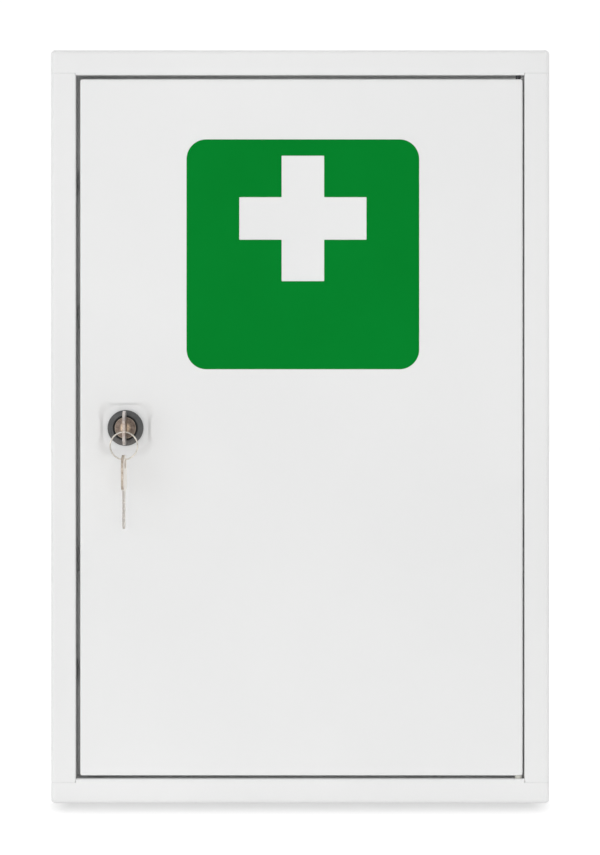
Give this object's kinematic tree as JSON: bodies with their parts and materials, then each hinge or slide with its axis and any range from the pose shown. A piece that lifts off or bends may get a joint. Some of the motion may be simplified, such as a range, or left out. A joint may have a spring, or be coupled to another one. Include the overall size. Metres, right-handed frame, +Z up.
{
  "type": "medicine cabinet",
  "caption": "Lockable wall cabinet for medicines: folded steel box with shelves, one flush door on hidden pivots, a cam lock with keys, and a green label with a white cross.",
  "frame": {"origin": "centre of the four wall holes, on the plane of the cabinet's back", "axes": "+X to the right as seen from the front, +Y from the door through the cabinet into the wall, +Z up"},
  "size_m": [0.3046, 0.1702, 0.46],
  "materials": {
    "white_paint": "white powder coat, semi-gloss with fine orange peel",
    "zinc": "bright zinc plate, satin",
    "nylon": "natural nylon",
    "black_rubber": "matt",
    "green_vinyl": "smooth vinyl film",
    "dark_bezel": "black nickel over zinc die casting, semi-gloss",
    "plug_nickel": "nickel plate, warm, satin",
    "wafer_brass": "plain stamped brass",
    "spring_steel": "drawn wire",
    "key_nickel": "nickel plate with fine scratches",
    "ring_steel": "polished spring steel"
  },
  "bodies": {
    "cabinet": {"left_side_panel": "white_paint", "right_side_panel": "white_paint", "top_panel": "white_paint", "bottom_panel": "white_paint", "back_panel": "white_paint", "upper_shelf": "white_paint", "lower_shelf": "white_paint", "upper_left_shelf_bracket": "white_paint", "upper_right_shelf_bracket": "white_paint", "lower_left_shelf_bracket": "white_paint", "lower_right_shelf_bracket": "white_paint", "upper_pivot_pin": "zinc", "lower_pivot_pin": "zinc", "hinge_washer": "nylon", "upper_door_buffer": "black_rubber", "lower_door_buffer": "black_rubber"},
    "door": {"door_panel": "white_paint", "sign_label": "green_vinyl", "upper_pivot_plate": "zinc", "lower_pivot_plate": "zinc", "lock_housing": "dark_bezel", "lock_washer": "zinc", "lock_nut": "zinc"},
    "lock_barrel": {"lock_plug": "plug_nickel", "wafers": "wafer_brass", "wafer_springs": "spring_steel", "stop_washer": "zinc", "lock_cam": "zinc", "cam_washer": "zinc", "cam_screw": "zinc"},
    "key_in_lock": {"key": "key_nickel"},
    "split_ring": {"key_ring": "ring_steel"},
    "hanging_key": {"spare_key": "key_nickel"}
  },
  "joints": [
    {"name": "door_swing", "type": "hinge", "parent": "cabinet", "child": "door", "pos_m": [0.13325, -0.1372, 0], "axis": [0, 0, 1], "range_deg": [0, 105]},
    {"name": "lock_turn", "type": "hinge", "parent": "door", "child": "lock_barrel", "pos_m": [-0.1066, -0.1424, -0.0008], "axis": [0, 1, 0], "range_deg": [0, 90]},
    {"name": "key_withdraw", "type": "slide", "parent": "lock_barrel", "child": "key_in_lock", "axis": [0, -1, 0], "range_m": [0, 0.026]},
    {"name": "ring_swing", "type": "hinge", "parent": "key_in_lock", "child": "split_ring", "pos_m": [-0.10735, -0.1599, -0.00385], "axis": [0, 1, 0], "range_deg": [-51.4, 0]},
    {"name": "spare_key_swing", "type": "hinge", "parent": "split_ring", "child": "hanging_key", "pos_m": [-0.1066, -0.1599, -0.01161], "axis": [0, 1, 0], "range_deg": [-38.8, 0]}
  ],
  "couplings": [
    {"joint": "ring_swing", "follows": "lock_turn", "ratio": -0.57},
    {"joint": "spare_key_swing", "follows": "lock_turn", "ratio": -0.43}
  ]
}
